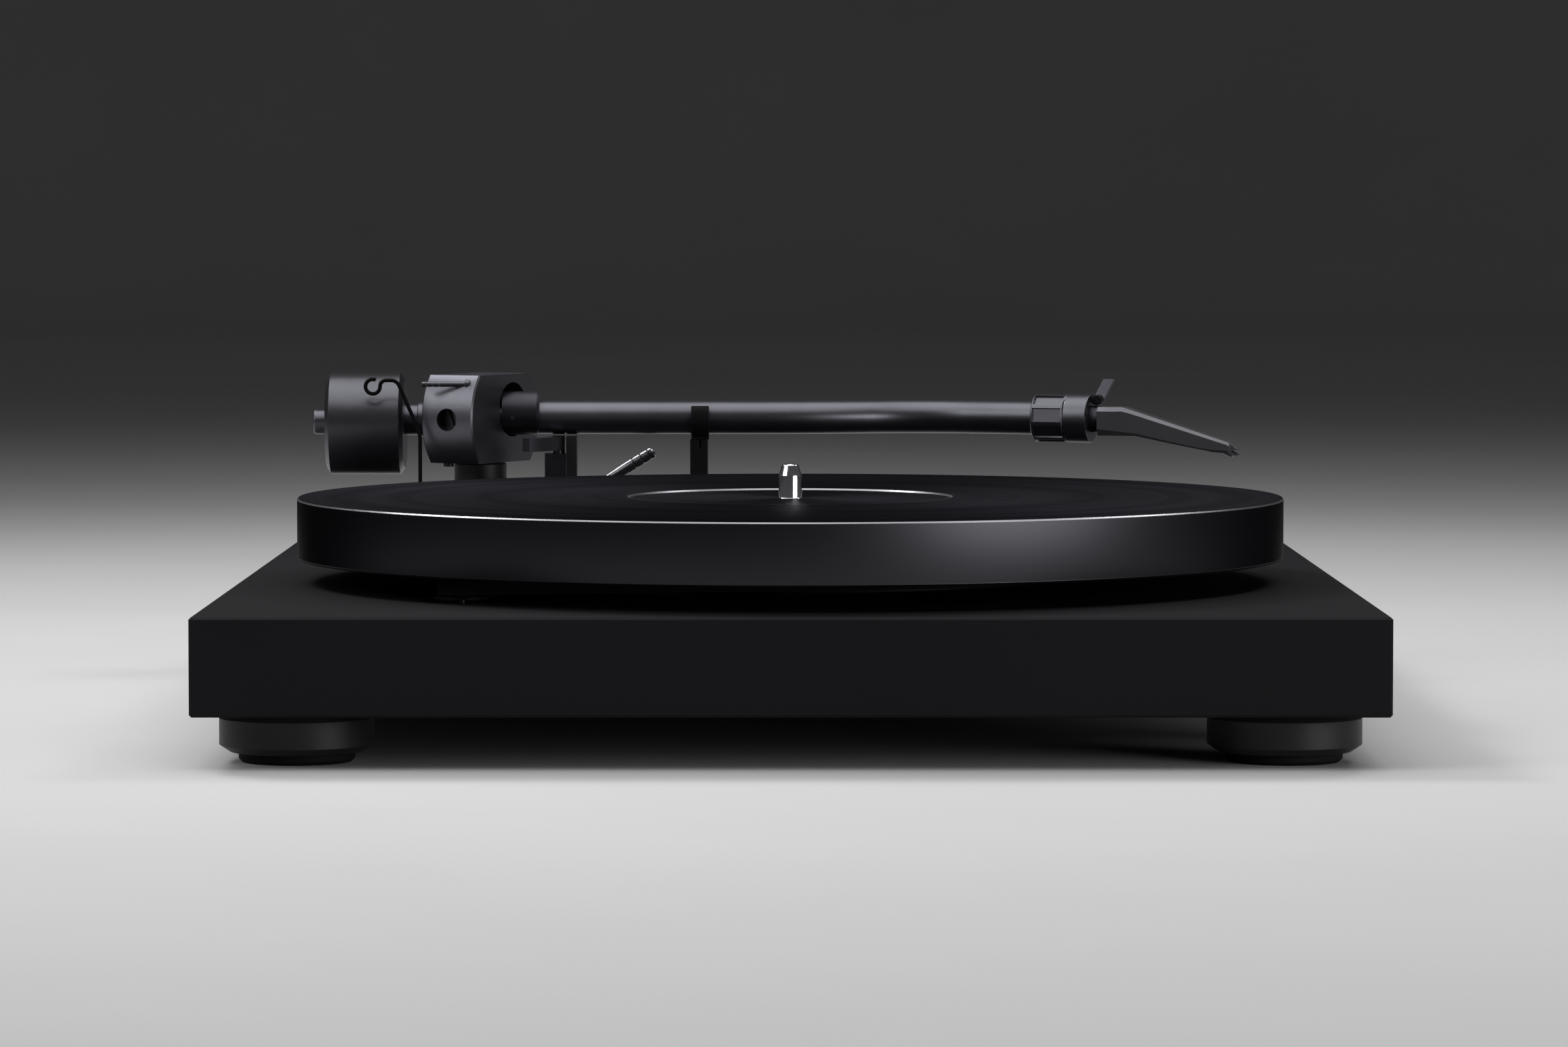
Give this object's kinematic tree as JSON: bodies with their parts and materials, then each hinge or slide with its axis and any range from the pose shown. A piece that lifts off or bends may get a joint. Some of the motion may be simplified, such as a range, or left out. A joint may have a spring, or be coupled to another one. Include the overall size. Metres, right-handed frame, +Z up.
{
  "type": "record player",
  "caption": "Belt-drive record player with a black slab plinth, a thick flat platter, an S-shaped tonearm in a turned bearing ring, a sliding counterweight and a lift lever.",
  "frame": {"origin": "middle of the footprint, on the surface that the feet stand on", "axes": "+X to the right, towards the tonearm side; +Y to the back; +Z up"},
  "size_m": [0.415, 0.335, 0.1001],
  "materials": {
    "satin_black_wood": "satin black lacquer",
    "satin_black_metal": "satin black",
    "dark_aluminium": "satin dark grey anodised",
    "dark_weight": "satin dark grey",
    "polished_steel": "polished",
    "plated_steel": "plated",
    "gold_plate": "polished",
    "brass": "machined",
    "black_plastic": "matte",
    "gloss_black_plastic": "gloss",
    "black_wire": "satin black",
    "rubber": "matte",
    "circuit_board": "solder mask"
  },
  "bodies": {
    "base": {"antiskate_wire": "black_wire", "arm_base": "satin_black_metal", "arm_pillar": "dark_aluminium", "bearing_cap": "brass", "bearing_housing": "brass", "belt": "rubber", "board_cover": "black_plastic", "connector_bracket": "plated_steel", "control_board": "circuit_board", "foot_1": "satin_black_metal", "foot_2": "satin_black_metal", "foot_3": "satin_black_metal", "foot_4": "satin_black_metal", "foot_pad_1": "rubber", "foot_pad_2": "rubber", "foot_pad_3": "rubber", "foot_pad_4": "rubber", "ground_post": "gold_plate", "height_clamp_screw": "dark_aluminium", "lift_housing": "satin_black_metal", "line_out_left": "gold_plate", "line_out_right": "gold_plate", "motor_body": "plated_steel", "motor_cover": "black_plastic", "plinth": "satin_black_wood", "power_inlet": "black_plastic", "rest_clip": "black_plastic", "rest_post": "black_plastic", "switch_housing": "black_plastic", "thrust_ball": "polished_steel"},
    "platter": {"platter": "satin_black_metal", "sub_platter": "black_plastic", "spindle": "polished_steel"},
    "pulley": {"pulley": "dark_aluminium", "motor_shaft": "polished_steel"},
    "gimbal": {"bearing_ring": "dark_aluminium", "swing_pin": "polished_steel", "ring_screw": "polished_steel", "antiskate_stub": "plated_steel", "pivot_bush_inner": "brass", "pivot_bush_outer": "brass", "pivot_screw_inner": "polished_steel", "pivot_screw_outer": "polished_steel"},
    "tonearm": {"arm_hub": "dark_aluminium", "pitch_axle": "polished_steel", "rear_shaft": "dark_aluminium", "tube_collar": "dark_aluminium", "collar_screw": "polished_steel", "arm_tube": "dark_aluminium", "head_socket": "dark_aluminium", "cartridge_body": "gloss_black_plastic", "stylus_carrier": "gloss_black_plastic", "stylus": "plated_steel", "finger_lift": "plated_steel"},
    "counterweight": {"counterweight": "dark_weight", "weight_screw": "polished_steel"},
    "locking_ring": {"locking_ring": "dark_aluminium"},
    "lift_bar": {"lift_bar": "dark_aluminium"},
    "lift_lever": {"lift_lever": "dark_aluminium"},
    "speed_rocker": {"speed_rocker": "black_plastic"}
  },
  "joints": [
    {"name": "platter_spin", "type": "hinge", "parent": "base", "child": "platter", "pos_m": [-0.0425, 0, 0.043], "axis": [0, 0, -1], "continuous": true},
    {"name": "pulley_spin", "type": "hinge", "parent": "base", "child": "pulley", "pos_m": [-0.1375, 0.095, 0.043], "axis": [0, 0, -1], "continuous": true},
    {"name": "arm_swing", "type": "hinge", "parent": "base", "child": "gimbal", "pos_m": [0.1705, 0.1052, 0.0847], "axis": [0, 0, -1], "range_deg": [0, 46], "deforming": ["rest_clip"]},
    {"name": "arm_pitch", "type": "hinge", "parent": "gimbal", "child": "tonearm", "pos_m": [0.1705, 0.1052, 0.0847], "axis": [-0.891, 0.454, 0], "range_deg": [0, 10]},
    {"name": "weight_slide", "type": "slide", "parent": "tonearm", "child": "counterweight", "axis": [0, 1, 0], "range_m": [-0.004, 0.004]},
    {"name": "locking_ring_twist", "type": "hinge", "parent": "tonearm", "child": "locking_ring", "pos_m": [0.16698, -0.0839, 0.0848], "axis": [-0.342, -0.9397, 0], "range_deg": [-60, 0]},
    {"name": "lift_lever_turn", "type": "hinge", "parent": "base", "child": "lift_lever", "pos_m": [0.1705, 0.0717, 0.0577], "axis": [1, 0, 0], "range_deg": [0, 35]},
    {"name": "lift_bar_slide", "type": "slide", "parent": "base", "child": "lift_bar", "axis": [0, 0, 1], "range_m": [-0.004, 0]},
    {"name": "rocker_tilt", "type": "hinge", "parent": "base", "child": "speed_rocker", "pos_m": [-0.12, -0.156, 0.01], "axis": [0, 1, 0], "range_deg": [-6, 6]}
  ],
  "couplings": [
    {"joint": "pulley_spin", "follows": "platter_spin", "ratio": 13.095},
    {"joint": "lift_bar_slide", "follows": "lift_lever_turn", "m_per_rad": -0.0062207}
  ]
}
